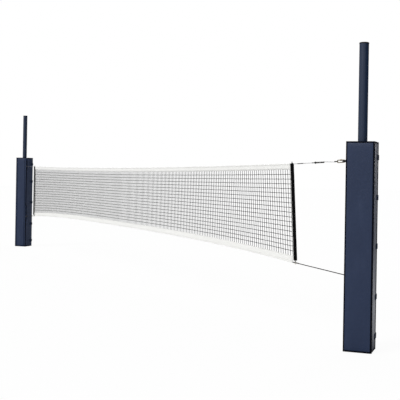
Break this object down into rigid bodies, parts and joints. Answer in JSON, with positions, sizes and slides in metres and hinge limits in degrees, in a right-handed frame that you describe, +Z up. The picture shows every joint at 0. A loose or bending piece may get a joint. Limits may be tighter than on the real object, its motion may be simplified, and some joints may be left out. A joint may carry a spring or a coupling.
{
  "type": "volleyball net on padded posts",
  "caption": "Volleyball net with side dowels, steel top cable and lower cord, held by sliding collars on round posts inside square foam pads.",
  "frame": {"origin": "on the floor line, midway between the two post axes; the posts reach below it into their floor sleeves", "axes": "+X along the net towards the post with the turnbuckle, +Y across the net, +Z up"},
  "size_m": [11.3452, 0.3537, 2.937],
  "materials": {
    "post_paint": "semi-gloss navy powder coat",
    "cap_plastic": "moulded black",
    "pad_foam": "open-cell foam",
    "pad_vinyl": "coated vinyl, soft grain",
    "hook_tape": "woven hook-and-loop tape",
    "collar_metal": "cast, satin",
    "knob_plastic": "moulded black",
    "zinc_steel": "bright zinc",
    "black_steel": "black finish",
    "brass": "aged",
    "dark_steel": "dark oxide",
    "cable_steel": "stranded wire",
    "sleeve_plastic": "shrink sleeve",
    "net_twine": "knotted twine",
    "white_tape": "coated webbing",
    "dowel_rod": "black rod",
    "dowel_sleeve": "black sleeve",
    "cord_fibre": "laid cord"
  },
  "bodies": {
    "posts": {"near_post": "post_paint", "far_post": "post_paint", "stop_rings": "post_paint", "near_post_cap": "cap_plastic", "far_post_cap": "cap_plastic", "near_post_plug": "cap_plastic", "far_post_plug": "cap_plastic", "near_pad_foam": "pad_foam", "far_pad_foam": "pad_foam", "near_pad_cover": "pad_vinyl", "far_pad_cover": "pad_vinyl", "near_loop_patches": "hook_tape", "far_loop_patches": "hook_tape"},
    "near_closing_panel": {"near_panel_foam": "pad_foam", "near_panel_cover": "pad_vinyl"},
    "far_closing_panel": {"far_panel_foam": "pad_foam", "far_panel_cover": "pad_vinyl"},
    "near_tab_set": {"near_tabs": "hook_tape"},
    "far_tab_set": {"far_tabs": "hook_tape"},
    "net_rig": {"near_upper_collar": "collar_metal", "near_lower_collar": "collar_metal", "far_upper_collar": "collar_metal", "far_lower_collar": "collar_metal", "clevis_pins": "zinc_steel", "pull_rod": "black_steel", "quick_link": "brass", "lead_eye": "dark_steel", "lead_cable": "cable_steel", "turnbuckle_near_stud": "dark_steel", "turnbuckle_far_stud": "dark_steel", "top_cable": "cable_steel", "cable_sleeve": "sleeve_plastic", "far_cable_jaw": "zinc_steel", "net_mesh": "net_twine", "top_tape": "white_tape", "bottom_tape": "white_tape", "near_side_tape": "white_tape", "far_side_tape": "white_tape", "near_dowel": "dowel_rod", "far_dowel": "dowel_rod", "near_dowel_sleeve": "dowel_sleeve", "far_dowel_sleeve": "dowel_sleeve", "near_dowel_eyes": "dark_steel", "far_dowel_eyes": "dark_steel", "near_corner_ring": "brass", "far_corner_ring": "brass", "near_lower_cord": "cord_fibre", "far_lower_cord": "cord_fibre", "near_cord_fittings": "dark_steel", "far_cord_fittings": "zinc_steel", "hem_cord": "cord_fibre", "hem_cord_eyes": "dark_steel"},
    "near_upper_clamp": {"near_upper_knob": "knob_plastic"},
    "near_lower_clamp": {"near_lower_knob": "knob_plastic"},
    "far_upper_clamp": {"far_upper_knob": "knob_plastic"},
    "far_lower_clamp": {"far_lower_knob": "knob_plastic"},
    "link_sleeve": {"link_nut": "brass"},
    "turnbuckle": {"turnbuckle_body": "dark_steel"},
    "lock_nut": {"turnbuckle_lock_nut": "dark_steel"}
  },
  "joints": [
    {"name": "net_height", "type": "slide", "parent": "posts", "child": "net_rig", "axis": [0, 0, 1], "range_m": [-0.06, 0.2]},
    {"name": "near_panel_hinge", "type": "hinge", "parent": "posts", "child": "near_closing_panel", "pos_m": [5.65111, 0.01899, 0.9], "axis": [0, 0, -1], "range_deg": [0, 100]},
    {"name": "far_panel_hinge", "type": "hinge", "parent": "posts", "child": "far_closing_panel", "pos_m": [-5.6483, 0.03468, 0.9], "axis": [0, 0, 1], "range_deg": [0, 100]},
    {"name": "near_tabs_peel", "type": "hinge", "parent": "near_closing_panel", "child": "near_tab_set", "pos_m": [5.50814, 0.17964, 0.9], "axis": [0, 0, -1], "range_deg": [0, 120]},
    {"name": "far_tabs_peel", "type": "hinge", "parent": "far_closing_panel", "child": "far_tab_set", "pos_m": [-5.48932, 0.1795, 0.9], "axis": [0, 0, 1], "range_deg": [0, 120]},
    {"name": "near_upper_screw", "type": "hinge", "parent": "net_rig", "child": "near_upper_clamp", "pos_m": [5.56, 0, 1.667], "axis": [1, 0, 0], "range_deg": [0, 900]},
    {"name": "near_lower_screw", "type": "hinge", "parent": "net_rig", "child": "near_lower_clamp", "pos_m": [5.56, 0, 0.627], "axis": [1, 0, 0], "range_deg": [0, 900]},
    {"name": "far_upper_screw", "type": "hinge", "parent": "net_rig", "child": "far_upper_clamp", "pos_m": [-5.56, 0, 1.652], "axis": [-1, 0, 0], "range_deg": [0, 900]},
    {"name": "far_lower_screw", "type": "hinge", "parent": "net_rig", "child": "far_lower_clamp", "pos_m": [-5.56, 0, 0.614], "axis": [-1, 0, 0], "range_deg": [0, 900]},
    {"name": "link_nut_slide", "type": "slide", "parent": "net_rig", "child": "link_sleeve", "axis": [-0.9997, 0, -0.0262], "range_m": [0, 0.018]},
    {"name": "turnbuckle_turn", "type": "hinge", "parent": "net_rig", "child": "turnbuckle", "pos_m": [4.87079, 0, 1.65242], "axis": [-0.9997, 0, -0.0262], "continuous": true},
    {"name": "lock_nut_turn", "type": "hinge", "parent": "net_rig", "child": "lock_nut", "pos_m": [4.79782, 0, 1.65051], "axis": [-0.9997, 0, -0.0262], "continuous": true}
  ]
}
